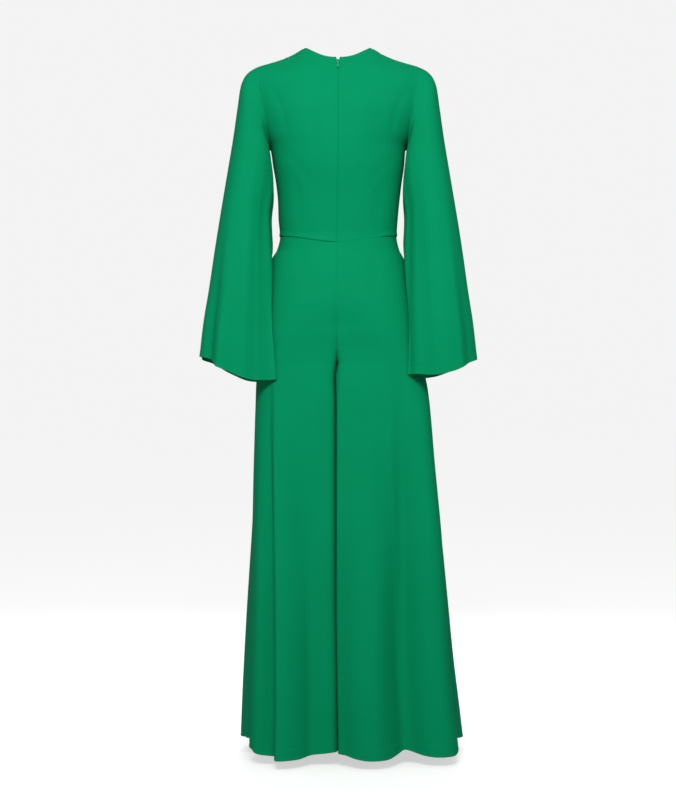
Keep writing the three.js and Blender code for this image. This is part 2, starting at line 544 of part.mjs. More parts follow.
for (const [sideName, side] of [['left', 1], ['right', -1]]) {
  // Half of the back bodice, notched at the neck above the zip.
  add(`bodice_back_${sideName}`, clothPanel({
    at: (u, v) => {
      const p = bodice('back', side, u, v);
      p.x += side * NOTCH_WIDE * clamp(1 - (NECK_BACK_Z - p.z) / NOTCH_DEEP) * clamp(1 - u * 5);
      return p;
    },
    us: evenly(0, 1, BODICE_ACROSS), vs: upRows, trim: ['u0', 'u1', 'v0', 'v1'],
    outward: (p) => new THREE.Vector3(p.x, p.y, 20),
    mitre: armholeMitre(side, 'back', BODICE_ACROSS), rising: true,
  }), GREEN);

  // Sleeve: a tube from the armhole to the open bell at the hand.
  add(`sleeve_${sideName}`, clothPanel({
    at: (turn, k) => sleeveTube(side, turn, k),
    us: evenly(0, 1, AROUND).slice(0, -1), vs: SLEEVE_ROWS, loop: true, trim: ['v0'],
    outward: (p, turn, k) => {
      const theta = turn * 2 * Math.PI;
      const across = new THREE.Vector3(side * (sleeve.xo(k) - sleeve.xi(k)), 0, sleeve.zo(k) - sleeve.zi(k)).normalize();
      return across.multiplyScalar(Math.cos(theta)).add(new THREE.Vector3(0, Math.sin(theta), 0));
    },
    mitre: (n, i, j) => {
      if (j > 0) return n;
      const face = i <= ARMHOLE_ROWS ? 'back' : 'front';
      const down = i <= ARMHOLE_ROWS ? i : AROUND - i;
      return armholeNormals(side, face, ROWS_UP - down).sleeve;
    },
  }), GREEN);

  for (const face of ['back', 'front']) {
    // Quarter of the trousers, waist to hem, from side seam to centre seam
    // and inside leg.
    add(`trouser_${face}_${sideName}`, clothPanel({
      at: (u, v) => trouser(face, side, u, v),
      us: evenly(0, 1, LEG_ACROSS), vs: evenly(0, 1, LEG_ROWS.length - 1),
      trim: ['u0', 'u1', 'v0'],
      outward: (p, u, v) => {
        const z = p.z;
        return new THREE.Vector3(p.x - centre(z) - side * legWidth(side, z).mid, p.y, 0);
      },
      normalAt: (u, v) => trouserNormal(face, side, u, v),
    }), GREEN);
  }
}

// Front bodice, one piece from armhole to armhole.
add('bodice_front', clothPanel({
  at: (u, v) => bodice('front', u < 0 ? -1 : 1, Math.abs(u), v),
  us: evenly(-1, 1, 2 * BODICE_ACROSS), vs: upRows, trim: ['u0', 'u1', 'v0', 'v1'],
  outward: (p) => new THREE.Vector3(p.x, p.y, 20),
  mitre: (n, i, j) => {
    if (j < BODICE_SIDE_ROWS || (i > 0 && i < 2 * BODICE_ACROSS)) return n;
    return armholeNormals(i === 0 ? -1 : 1, 'front', j).body;
  },
}), GREEN);

// Both tapes of the closed zip, one strip behind the centre-back seam.
const tapeStops = [
  ...upRows.map((v) => lerp(WAIST_SIDE_Z - WAIST_BACK_DIP, NECK_BACK_Z, (edgeZ(v) - WAIST_SIDE_Z) / (TIP_Z - WAIST_SIDE_Z)))
    .slice(0, -1),
  ...LEG_ROWS.filter((z) => z < WAIST_SIDE_Z && z >= ZIP_END_Z).map((z) => legHeight('back', Math.PI / 2, z)),
].sort((p, q) => q - p);
const backAt = (x, z) => (z >= WAIST_SIDE_Z - WAIST_BACK_DIP
  ? torsoY('back', Math.sign(x) || 1, x, z)
  : depth('back', z));
add('zip_tape', clothPanel({
  at: (u, v) => {
    const z = tapeStops[Math.round(v)] + (v - Math.round(v)) * 1;
    return new THREE.Vector3(u * TAPE_HALF + centre(z), backAt(u * TAPE_HALF, z), z);
  },
  us: [-1, 0, 1], vs: tapeStops.map((_, i) => i), outward: () => new THREE.Vector3(0, 1, 0.3),
  normalAt: (u, v) => {
    const z = tapeStops[Math.round(v)];
    const rise = (backAt(0, z + 1) - backAt(0, z - 1)) / 2;
    return new THREE.Vector3(0, 1, -rise).normalize();
  },
  wall: TAPE_THICK, lift: WALL + TAPE_BEHIND,
}), 0x02764a, 0.7);

// ---- slider and pull, built flat with +Y out of the cloth and +Z up it ----
const wasm = await Module();
wasm.setup();
function toManifold(geometry) {
  const g = geometry.clone();
  g.deleteAttribute('normal');
  g.deleteAttribute('uv');
  const merged = mergeVertices(g, 1e-4);
  return new wasm.Manifold(new wasm.Mesh({
    numProp: 3,
    vertProperties: new Float32Array(merged.attributes.position.array),
    triVerts: new Uint32Array(merged.index.array),
  }));
}
function fromManifold(body3) {
  const mesh = body3.getMesh();
  const geometry = new THREE.BufferGeometry();
  geometry.setAttribute('position', new THREE.BufferAttribute(new Float32Array(mesh.vertProperties), 3));
  geometry.setIndex(Array.from(mesh.triVerts));
  geometry.computeVertexNormals();
  return geometry;
}

// Place on the cloth at centre back, leaning back with it.
const slope = (torsoY('back', 1, 0, SLIDER_Z - 4) - torsoY('back', 1, 0, SLIDER_Z + 4)) / 8;
const lean = Math.atan(slope);
const clothAt = new THREE.Vector3(centre(SLIDER_Z), torsoY('back', 1, 0, SLIDER_Z), SLIDER_Z);
const away = new THREE.Vector3(0, Math.cos(lean), Math.sin(lean));
const hinge = clothAt.clone().addScaledVector(away, SLIDER_OFF + SLIDER_THICK + HINGE_UP);
function onZip(name, geometry, color) {
  const mesh = add(name, geometry, color, 0.35, 0.4);
  mesh.position.copy(hinge);
  mesh.rotation.x = lean;
  return mesh;
}

// Slider: a rounded body, wider at the top, with the loop standing on it.
const sliderShape = new THREE.Shape();
sliderShape.moveTo(-SLIDER_WIDE * 0.32, -SLIDER_LONG * 0.55);
sliderShape.lineTo(SLIDER_WIDE * 0.32, -SLIDER_LONG * 0.55);
sliderShape.quadraticCurveTo(SLIDER_WIDE * 0.5, -SLIDER_LONG * 0.3, SLIDER_WIDE * 0.5, SLIDER_LONG * 0.15);
sliderShape.quadraticCurveTo(SLIDER_WIDE * 0.5, SLIDER_LONG * 0.42, SLIDER_WIDE * 0.2, SLIDER_LONG * 0.45);
sliderShape.lineTo(-SLIDER_WIDE * 0.2, SLIDER_LONG * 0.45);
sliderShape.quadraticCurveTo(-SLIDER_WIDE * 0.5, SLIDER_LONG * 0.42, -SLIDER_WIDE * 0.5, SLIDER_LONG * 0.15);
sliderShape.quadraticCurveTo(-SLIDER_WIDE * 0.5, -SLIDER_LONG * 0.3, -SLIDER_WIDE * 0.32, -SLIDER_LONG * 0.55);
const sliderBody = new THREE.ExtrudeGeometry(sliderShape, { depth: SLIDER_THICK, bevelEnabled: false, curveSegments: 4 });
sliderBody.rotateX(Math.PI / 2);   // the shape's height becomes +Z, its depth -Y
sliderBody.translate(0, -HINGE_UP, 0);
const bailShape = new THREE.Shape();
const foot = -HINGE_UP - SLIDER_THICK / 2;
bailShape.moveTo(BAIL_OUT, foot);
bailShape.lineTo(BAIL_OUT, 0);
bailShape.absarc(0, 0, BAIL_OUT, 0, Math.PI, false);
bailShape.lineTo(-BAIL_OUT, foot);
bailShape.lineTo(-BAIL_IN, foot);
bailShape.lineTo(-BAIL_IN, 0);
bailShape.absarc(0, 0, BAIL_IN, Math.PI, 0, true);
bailShape.lineTo(BAIL_IN, foot);
bailShape.closePath();
const bail = new THREE.ExtrudeGeometry(bailShape, { depth: BAIL_WIDE, bevelEnabled: false, curveSegments: 10 });
bail.translate(0, 0, -BAIL_WIDE / 2);
bail.rotateY(-Math.PI / 2);        // the shape's width becomes +Z, its depth X
onZip('zip_slider', fromManifold(toManifold(sliderBody).add(toManifold(bail))), 0x1f8a5c);

// Pull: a slim drop with an eye round the slider's loop, hanging down.
const pullShape = new THREE.Shape();
const bar = PULL_THICK / 2;
pullShape.moveTo(-PULL_WIDE * 0.36, bar);
pullShape.lineTo(PULL_WIDE * 0.36, bar);
pullShape.quadraticCurveTo(PULL_WIDE * 0.44, bar, PULL_WIDE * 0.44, -0.6);
pullShape.lineTo(PULL_WIDE * 0.4, -EYE_END - 0.6);
pullShape.quadraticCurveTo(PULL_WIDE * 0.22, -EYE_END - 2.4, PULL_WIDE * 0.34, -PULL_LONG * 0.6);
pullShape.quadraticCurveTo(PULL_WIDE * 0.58, -PULL_LONG * 0.88, PULL_WIDE * 0.3, -PULL_LONG * 0.965);
pullShape.quadraticCurveTo(0, -PULL_LONG * 1.035, -PULL_WIDE * 0.3, -PULL_LONG * 0.965);
pullShape.quadraticCurveTo(-PULL_WIDE * 0.58, -PULL_LONG * 0.88, -PULL_WIDE * 0.34, -PULL_LONG * 0.6);
pullShape.quadraticCurveTo(-PULL_WIDE * 0.22, -EYE_END - 2.4, -PULL_WIDE * 0.4, -EYE_END - 0.6);
pullShape.lineTo(-PULL_WIDE * 0.44, -0.6);
pullShape.quadraticCurveTo(-PULL_WIDE * 0.44, bar, -PULL_WIDE * 0.36, bar);
const eye = new THREE.Path();
eye.moveTo(-EYE_HALF, -bar);
eye.lineTo(-EYE_HALF, -EYE_END + 0.5);
eye.quadraticCurveTo(-EYE_HALF, -EYE_END, 0, -EYE_END);
eye.quadraticCurveTo(EYE_HALF, -EYE_END, EYE_HALF, -EYE_END + 0.5);
eye.lineTo(EYE_HALF, -bar);
eye.closePath();
pullShape.holes.push(eye);
const pull = new THREE.ExtrudeGeometry(pullShape, { depth: PULL_THICK, bevelEnabled: false, curveSegments: 5 });
pull.translate(0, 0, -PULL_THICK / 2);
pull.rotateX(Math.PI / 2);
onZip('zip_pull', pull, 0x2f9a6c);

export default jumpsuit;
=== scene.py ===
import math
import bpy
import numpy as np
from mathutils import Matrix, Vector


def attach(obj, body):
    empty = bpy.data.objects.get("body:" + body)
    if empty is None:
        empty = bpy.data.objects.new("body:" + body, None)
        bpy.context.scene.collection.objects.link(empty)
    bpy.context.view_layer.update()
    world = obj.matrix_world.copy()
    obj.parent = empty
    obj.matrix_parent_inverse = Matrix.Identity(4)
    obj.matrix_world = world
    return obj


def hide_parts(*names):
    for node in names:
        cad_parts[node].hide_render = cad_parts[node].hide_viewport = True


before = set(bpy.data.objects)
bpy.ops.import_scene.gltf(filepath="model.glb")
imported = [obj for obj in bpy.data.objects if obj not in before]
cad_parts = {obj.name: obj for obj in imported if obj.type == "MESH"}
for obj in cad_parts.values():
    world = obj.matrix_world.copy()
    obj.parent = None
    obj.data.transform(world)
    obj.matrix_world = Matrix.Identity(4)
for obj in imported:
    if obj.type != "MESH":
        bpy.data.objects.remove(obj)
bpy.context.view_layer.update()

# ------------------------------------------------------------------ sizes
WALL = 1.1            # cloth
NECK_HALF = 73.0
TIP_X, TIP_Z = 174.0, -40.0
UNDERARM_Z = -225.0
NECK_BACK_Z, NECK_FRONT_Z = -31.0, -88.0
WAIST_SIDE_Z, WAIST_BACK_DIP = -418.0, 19.0
CROTCH_Z, HEM_Z = -705.0, -1550.0
RIDGE_BACK, SHOULDER_ROUND = 6.0, 64.0
NOTCH_WIDE, NOTCH_DEEP = 4.6, 13.0
SLEEVE_CLEAR, INSIDE_SLANT, ROOM = 7.0, 5.0, 8.0
DEG = math.pi / 180

BODY_KEYS = ("z", "left", "right", "back", "front", "inner", "n")
BODY = np.array([
    (20, 222, 222, 58, 42, -222, 2.3), (-31, 218, 218, 69, 53, -218, 2.3),
    (-60, 214, 214, 82, 64, -214, 2.3), (-100, 206, 206, 96, 82, -206, 2.3),
    (-150, 189, 189, 106, 103, -189, 2.3), (-200, 163, 163, 108, 121, -163, 2.3),
    (-225, 150, 150, 107, 127, -150, 2.3), (-262, 144, 147, 104, 129, -144, 2.3),
    (-300, 137, 142, 98, 120, -137, 2.3), (-340, 132, 138, 91, 105, -132, 2.3),
    (-380, 130, 135, 86, 91, -130, 2.3), (-418, 126, 133, 83, 83, -126, 2.3),
    (-447, 132, 139, 86, 85, -132, 2.3), (-468, 144, 150, 92, 89, -144, 2.3),
    (-520, 155, 164, 105, 96, -138, 2.35), (-580, 163, 175, 111, 101, -100, 2.45),
    (-630, 168, 182, 109, 104, -46, 2.5), (-670, 172, 187, 104, 105, -12, 2.55),
    (-690, 174.5, 189.5, 102.3, 105, -2.5, 2.6), (-705, 176, 191, 101.5, 105, 0.3, 2.6),
    (-760, 182, 199, 102, 108, 0.4, 2.6), (-914, 188, 211, 106, 116, 0.4, 2.6),
    (-1092, 194, 226, 111, 125, 0.4, 2.6), (-1226, 199, 233, 114, 132, 0.4, 2.6),
    (-1359, 205, 239, 117, 140, 0.4, 2.5), (-1560, 213, 257, 122, 150, 0.6, 2.5)], float)
CENTRE = np.array([
    (20, 0), (-230, 0), (-437, 3), (-640, 4), (-705, 2), (-800, -1), (-1000, -2),
    (-1200, -3), (-1400, -6), (-1560, -8)], float)
SHOULDER = np.array([
    (0, 12), (40, 9), (NECK_HALF, 0), (102, -16), (129, -27), (156, -35), (TIP_X, TIP_Z), (240, -56)], float)
ARMHOLE_KEYS = ("z", "back", "front")
ARMHOLE = np.array([
    (TIP_Z, TIP_X, TIP_X), (-75, 171, 167), (-115, 166, 160), (-160, 161, 155),
    (-200, 155, 152), (UNDERARM_Z, 150, 150)], float)
SLEEVE_KEYS = ("k", "xo", "zo", "xi", "zi", "y", "deep", "n", "drop")
SLEEVE = np.array([
    (0, 174, -40, 150, -225, 0, 60, 2.0, 0), (1, 197, -51, 147, -240, 1, 62, 2.15, 0),
    (2, 215, -83, 140, -258, 2, 66, 2.5, 0), (3, 223, -135, 138, -286, 4, 70, 2.55, 0),
    (4, 232, -200, 140, -327, 6, 75, 2.55, 1), (5, 246, -285, 147, -380, 8, 80, 2.5, 3),
    (6, 259, -365, 144, -440, 11, 85, 2.6, 6), (7, 272, -450, 139, -505, 14, 91, 2.8, 10),
    (8, 284, -535, 133, -575, 17, 98, 3.0, 15), (9, 296, -612, 129, -645, 20, 104, 3.2, 21),
    (10, 304, -684, 126, -714, 22, 109, 3.3, 27)], float)

# Folds of the legs: place round the leg in degrees (0 side seam, 90 back,
# 180 inside, 270 front), drift, half widths, rise outwards, start and full height.
FOLD_KEYS = ("at", "shift", "low", "high", "rise", "top", "full")
LEG_FOLDS = {
    1: np.array([
        (65, 13.5, 8, 34, 38, -600, -1500), (50, 4, 14, 12, 2.5, -640, -1200),
        (113, 0, 16, 13, -6, -760, -1300), (24, 0, 26, 20, -16, -900, -1550),
        (318, 0, 26, 24, 30, -700, -1550), (284, 2, 20, 18, -20, -640, -1400),
        (248, 2, 24, 26, 24, -700, -1550)], float),
    -1: np.array([
        (112, 0, 26, 34, 40, -640, -1550), (60, 24, 24, 24, -20, -560, -1450),
        (44, 4, 26, 22, 13, -640, -1400), (322, 2, 24, 22, 30, -720, -1550),
        (290, -2, 22, 20, -24, -640, -1450), (254, 0, 26, 28, 26, -700, -1550)], float),
}
# Smaller creases of the legs, in the same terms.
LEG_CREASES = {
    1: np.array([(55, 13.5, 20, 9, -13, -620, -1300), (127, 0, 12, 16, -3.5, -690, -800),
                 (300, -4, 12, 16, -5, -700, -1100), (228, 3, 14, 12, 4, -760, -1200)], float),
    -1: np.array([(66, 8, 11, 14, -5, -560, -1000), (122, 0, 14, 12, 2.5, -680, -760),
                  (306, 3, 14, 12, -5, -720, -1150), (236, -3, 12, 14, 4, -780, -1200)], float),
}
# How far the hem of a leg lifts, round the leg in degrees.
HEM_LIFT = {
    1: np.array([(0, 19), (18, 22), (34, 16), (46, 13.5), (52, 6), (60, 2), (70, 0), (84, 0), (95, 0), (105, 3), (118, 7),
                 (130, 10), (150, 11), (180, 9), (200, 10), (222, 11), (245, 3), (262, 0), (280, 7), (300, 11), (322, 5),
                 (342, 14), (360, 19)], float),
    -1: np.array([(0, 14), (18, 13), (34, 8), (46, 1.5), (58, 1), (66, 3), (76, 9), (85, 13), (94, 6), (102, 0), (112, 0),
                  (122, 3), (131, 8), (155, 11), (180, 9), (205, 10), (226, 11), (248, 2), (268, 1), (290, 9), (306, 9),
                  (328, 3), (345, 10), (360, 14)], float),
}
SLEEVE_FOLD_KEYS = ("at", "low", "high", "rise", "top", "full")
SLEEVE_FOLDS = np.array([
    (118, 24, 20, -5, 2, 7), (44, 18, 16, -7, 5, 10), (244, 22, 24, -6, 3, 8), (312, 20, 18, -7, 4, 9)], float)
# How far the bell's hem hangs below its two ends, round the sleeve in degrees.
HEM_DROP = {
    1: np.array([(0, 0), (30, 2), (52, 7), (57, 9), (61, 15), (75, 22), (90, 29.5), (107, 33), (122, 30), (150, 21),
                 (180, 10), (210, 21), (240, 32), (262, 36), (285, 28), (310, 14), (340, 3), (360, 0)], float),
    -1: np.array([(0, 0), (20, 7), (35, 11.5), (50, 16.5), (72, 24), (92, 25.6), (105, 23.5), (128, 15), (150, 11), (180, 8),
                  (215, 18), (245, 26), (268, 28), (295, 22), (325, 9), (345, 2), (360, 0)], float),
}
SLEEVE_CREASES = {
    1: np.array([
        (64, 7, 26, 9, 6.5, 10), (50, 16, 8, -6, 6.0, 10), (96, 16, 18, 3, 3, 9),
        (132, 16, 10, -5, 1.5, 6), (147, 9, 14, 5, 1.5, 6),
        (222, 14, 16, 5, 2, 8), (268, 16, 20, 5, 3, 9), (330, 12, 14, 5, 4, 10)], float),
    -1: np.array([
        (138, 16, 10, -5, 1.5, 6), (152, 9, 14, 4, 1.5, 6), (84, 24, 26, 4, 3, 9), (20, 12, 14, 4, 5, 10),
        (228, 14, 16, 4, 2, 8), (262, 16, 20, 6, 3, 9), (336, 14, 14, 5, 4, 10)], float),
}

BODICE_SIDE_ROWS, ARMHOLE_ROWS = 5, 11
ROWS_UP = BODICE_SIDE_ROWS + ARMHOLE_ROWS
NECK_SHARE = 4 / 9
FAN_SHARE = 0.75


# ------------------------------------------------------------------ tables
def smooth(t):
    c = np.clip(t, 0, 1)
    return c * c * (3 - 2 * c)


def lerp(a, b, t):
    return a + (b - a) * t


def column(xs, ys):
    order = np.argsort(xs)
    xs, ys = np.array(xs, float)[order], np.array(ys, float)[order]
    gaps = np.diff(ys) / np.diff(xs)
    slope = np.zeros(len(xs))
    slope[0], slope[-1] = gaps[0], gaps[-1]
    for i in range(1, len(xs) - 1):
        a, b = gaps[i - 1], gaps[i]
        slope[i] = 0 if a * b <= 0 else 2 * a * b / (a + b)

    def at(x):
        x = np.clip(np.asarray(x, float), xs[0], xs[-1])
        i = np.clip(np.searchsorted(xs, x, side="right") - 1, 0, len(xs) - 2)
        h = xs[i + 1] - xs[i]
        t = (x - xs[i]) / h
        t2, t3 = t * t, t * t * t
        return ((2 * t3 - 3 * t2 + 1) * ys[i] + (t3 - 2 * t2 + t) * h * slope[i]
                + (3 * t2 - 2 * t3) * ys[i + 1] + (t3 - t2) * h * slope[i + 1])
    return at


body = {k: column(BODY[:, 0], BODY[:, i]) for i, k in enumerate(BODY_KEYS) if i}
centre = column(CENTRE[:, 0], CENTRE[:, 1])
shoulder_z = column(SHOULDER[:, 0], SHOULDER[:, 1])
armhole_x = {k: column(ARMHOLE[:, 0], ARMHOLE[:, i]) for i, k in enumerate(ARMHOLE_KEYS) if i}
sleeve_of = {k: column(SLEEVE[:, 0], SLEEVE[:, i]) for i, k in enumerate(SLEEVE_KEYS) if i}
hem_drop = {side: column(rows[:, 0], rows[:, 1]) for side, rows in HEM_DROP.items()}
hem_lift = {side: column(rows[:, 0], rows[:, 1]) for side, rows in HEM_LIFT.items()}


# ------------------------------------------------------------------ surfaces
def half(side, z):
    return body["left"](z) if side > 0 else body["right"](z)


def depth(face, z):
    return body[face](z)


def toward(face):
    return 1 if face == "back" else -1


def reach(c, s, a, b, n):
    return (np.abs(c / a) ** n + np.abs(s / b) ** n) ** (-1 / n)


def waist_z(face, alpha):
    return WAIST_SIDE_Z - (WAIST_BACK_DIP * np.cos(alpha) ** 2 if face == "back" else 0)


def torso_y(face, side, x, z):
    n = body["n"](z)
    t = np.clip(np.abs(x) / half(side, z), 0, 1)
    y = toward(face) * depth(face, z) * (1 - t ** n) ** (1 / n)
    drop = np.clip((shoulder_z(np.abs(x)) - z) / SHOULDER_ROUND, 0, 1)
    return RIDGE_BACK + (y - RIDGE_BACK) * np.sqrt(1 - (1 - drop) ** 2)


def edge_z(v):
    row = np.asarray(v, float) * ROWS_UP
    low = lerp(WAIST_SIDE_Z, UNDERARM_Z, row / BODICE_SIDE_ROWS)
    turn = np.clip((row - BODICE_SIDE_ROWS) / ARMHOLE_ROWS, 0, 1) * math.pi
    return np.where(row <= BODICE_SIDE_ROWS, low, lerp(UNDERARM_Z, TIP_Z, (1 - np.cos(turn)) / 2))


def top_edge(face, u):
    t = np.sin(np.clip(u / NECK_SHARE, 0, 1) * math.pi / 2)
    if face == "back":
        z1 = NECK_BACK_Z * (1 - t ** 2.2)
    else:
        z1 = NECK_FRONT_Z * np.sqrt(np.clip(1 - t ** 2.4, 0, 1))
    x2 = lerp(NECK_HALF, TIP_X, (u - NECK_SHARE) / (1 - NECK_SHARE))
    neck = u < NECK_SHARE
    return np.where(neck, NECK_HALF * t, x2), np.where(neck, z1, shoulder_z(x2))


def bodice(face, side, u, v):
    """Points of half a bodice panel; u from the centre out, v from the waist up."""
    u, v = np.broadcast_arrays(np.asarray(u, float), np.asarray(v, float))
    z_edge = edge_z(v)
    low = v * ROWS_UP <= BODICE_SIDE_ROWS
    wide = half(side, z_edge)
    x_edge = np.where(low, wide, np.minimum(wide, armhole_x[face](z_edge)))
    n = body["n"](z_edge)
    b = depth(face, z_edge)
    y_edge = b * (1 - np.clip(x_edge / wide, 0, 1) ** n) ** (1 / n)
    alpha = u * np.arctan2(x_edge, y_edge)
    ring_x = reach(np.sin(alpha), np.cos(alpha), wide, b, n) * np.sin(alpha)
    tx, tz = top_edge(face, u)
    share = smooth((v - 0.45) / 0.55)
    across = lerp(ring_x / x_edge, tx / TIP_X, share)
    bottom = waist_z(face, u * math.pi / 2)
    up = (z_edge - WAIST_SIDE_Z) / (TIP_Z - WAIST_SIDE_Z)
    z = lerp(bottom, tz, up)
    x = across * x_edge * lerp(half(side, z) / wide, 1, share)
    return np.stack([side * x + centre(z), torso_y(face, side, x, z), z], -1)


def leg_width(side, z):
    outer = half(side, z)
    inner = body["inner"](z)
    inner = inner * np.where(inner < 0, outer / half(1, z), 1)
    return (outer + inner) / 2, (outer - inner) / 2


def bumps(rows, at, along):
    total = np.zeros(np.broadcast(at, along).shape)
    for r in rows:
        a, shift, lo, hi, rise, top, full = r
        grown = smooth((along - top) / (full - top))
        off = (at - (a + shift * grown) + 540) % 360 - 180
        t = np.clip(np.abs(off) / np.where(off < 0, lo, hi), 0, 1)
        total = total + rise * grown * (0.5 + 0.5 * np.cos(math.pi * t))
    return total


# extra squareness of the legs, where they face each other and at their outer
# corners; the right leg comes forward more sharply than the left
INSIDE_SQUARE = 9.0
INSIDE_SHARP = {1: 0.0, -1: 16.0}
OUTSIDE_SQUARE = {1: 0.6, -1: 1.5}


def leg_radius(side, beta, z):
    a = leg_width(side, z)[1]
    b = np.where(np.sin(beta) >= 0, depth("back", z), depth("front", z))
    at = (beta / DEG + 360) % 360
    n = body["n"](z) + np.where(np.cos(beta) < 0, INSIDE_SQUARE * smooth((-600 - z) / 105) ** 1.3
                                + INSIDE_SHARP[side] * smooth((-715 - z) / 130),
                                OUTSIDE_SQUARE[side] * smooth((-620 - z) / 260))
    return (reach(np.cos(beta), np.sin(beta), a, b, n)
            + bumps(LEG_FOLDS[side], at, z) + bumps(LEG_CREASES[side], at, z))


def leg(side, beta, z):
    r = leg_radius(side, beta, z)
    return leg_width(side, z)[0] + r * np.cos(beta), r * np.sin(beta)


END_Z = np.concatenate([np.arange(-1560, -712, 4.0), np.arange(-712, -600, 0.1), np.arange(-600, -416, 2.0)])
END = {}
for _side in (1, -1):
    for _face in ("back", "front"):
        s = toward(_face)
        lo, hi = np.full(len(END_Z), math.pi / 2 - 0.05), np.full(len(END_Z), math.pi)
        for _ in range(44):
            m = (lo + hi) / 2
            out = leg(_side, s * m, END_Z)[0] > 0
            lo, hi = np.where(out, m, lo), np.where(out, hi, m)
        whole = leg(_side, np.full(len(END_Z), math.pi), END_Z)[0] > 0
        END[_side, _face] = s * np.where(whole, math.pi, lo)


def leg_end(side, face, z):
    return np.interp(z, END_Z, END[side, face])


def leg_height(face, beta, level):
    dip = waist_z(face, math.pi / 2 - np.abs(beta)) - WAIST_SIDE_Z
    return level + dip * smooth((level + 640) / (640 + WAIST_SIDE_Z))


def leg_point(face, side, beta, level):
    z = leg_height(face, beta, level)
    x, y = leg(side, beta, z)
    slant = INSIDE_SLANT * np.tanh(y / 20) * np.exp(-((x / 60) ** 2)) * smooth((CROTCH_Z + 12 - z) / 40)
    lift = hem_lift[side]((beta / DEG + 360) % 360) * smooth((-1300 - z) / 250)
    return np.stack([side * x + centre(z) + slant, y, z + lift], -1)


def trouser_angle(face, side, u, level):
    z = leg_height(face, u * math.pi / 2, level)
    down = np.clip((WAIST_SIDE_Z - level) / (WAIST_SIDE_Z - CROTCH_Z), 0, 1)
    fan = toward(face) * lerp(66, 134, down ** 3) * DEG
    return np.where(u <= FAN_SHARE, (u / FAN_SHARE) * fan,
                    lerp(fan, leg_end(side, face, z), (u - FAN_SHARE) / (1 - FAN_SHARE)))


def clear_of_body(side, x, y, z, clear):
    shift = side * centre(z)
    mid = np.where(z > WAIST_SIDE_Z, 0, leg_width(side, z)[0])
    dx = x - shift - mid
    beta = np.arctan2(y, dx)
    ring = reach(np.cos(beta), np.sin(beta), half(side, z), np.where(y >= 0, depth("back", z), depth("front", z)), body["n"](z))
    limit = clear + np.where(z > WAIST_SIDE_Z, ring, leg_radius(side, beta, z))
    r = np.hypot(dx, y)
    out = np.where(r >= limit + ROOM, r, limit + ROOM * np.exp(np.minimum(0, (r - limit - ROOM) / ROOM)))
    return mid + shift + out * np.cos(beta), out * np.sin(beta)


def armhole_point(side, turn):
    back = turn <= 0.5
    down = np.where(back, turn * 2, 2 - turn * 2)
    v = (BODICE_SIDE_ROWS + ARMHOLE_ROWS * (1 - down)) / ROWS_UP
    pb, pf = bodice("back", side, np.ones_like(v), v), bodice("front", side, np.ones_like(v), v)
    return np.where(back[..., None], pb, pf)


def sleeve_tube(side, place, k):
    place, k = np.broadcast_arrays(np.asarray(place, float), np.asarray(k, float))
    turn = place % 1
    theta = turn * 2 * math.pi
    g = {key: f(k) for key, f in sleeve_of.items()}
    c, s = np.cos(theta), np.sin(theta)
    r = (np.abs(c) ** g["n"] + np.abs(s) ** g["n"]) ** (-1 / g["n"])
    xo = g["xo"] + (2.5 - 4.5 * smooth((k - 6) / 4) if side < 0 else 0)
    xi = g["xi"] + (15 * smooth((k - 5.5) / 4.5) if side < 0 else 0)
    mid_x, mid_z = (xo + xi) / 2, (g["zo"] + g["zi"]) / 2
    at = (theta / DEG) % 360
    rows = np.array([(f[0], 0, *f[1:]) for f in np.concatenate([SLEEVE_FOLDS, SLEEVE_CREASES[side]])])
    rows[4:, 4] *= 0.8
    grow = 1 + bumps(rows, at, k) / 80
    x = mid_x + ((xo - xi) / 2) * r * c * grow
    y = g["y"] + g["deep"] * r * s * grow
    z = mid_z + ((g["zo"] - g["zi"]) / 2) * r * c - g["drop"] / 27 * hem_drop[side](at)
    free = smooth(k / 1.5)
    hole = armhole_point(side, turn)
    x, y, z = lerp(side * hole[..., 0], x, free), lerp(hole[..., 1], y, free), lerp(hole[..., 2], z, free)
    cx, cy = clear_of_body(side, x, y, z, lerp(0.9, SLEEVE_CLEAR, smooth(k / 2)))
    held = smooth((-150 - z) / 40) * smooth(k / 0.6)
    return np.stack([side * lerp(x, cx, held), lerp(y, cy, held), z], -1)


# ------------------------------------------------------------------ shells
def normals_of(P, loop):
    """Unit normals of a grid of points, with no fixed sign."""
    if loop:
        du = np.roll(P, -1, 1) - np.roll(P, 1, 1)
    else:
        du = np.empty_like(P)
        du[:, 1:-1] = P[:, 2:] - P[:, :-2]
        du[:, 0], du[:, -1] = P[:, 1] - P[:, 0], P[:, -1] - P[:, -2]
    dv = np.empty_like(P)
    dv[1:-1] = P[2:] - P[:-2]
    dv[0], dv[-1] = P[1] - P[0], P[-1] - P[-2]
    N = np.cross(du, dv)
    return N / np.maximum(np.linalg.norm(N, axis=-1, keepdims=True), 1e-9)


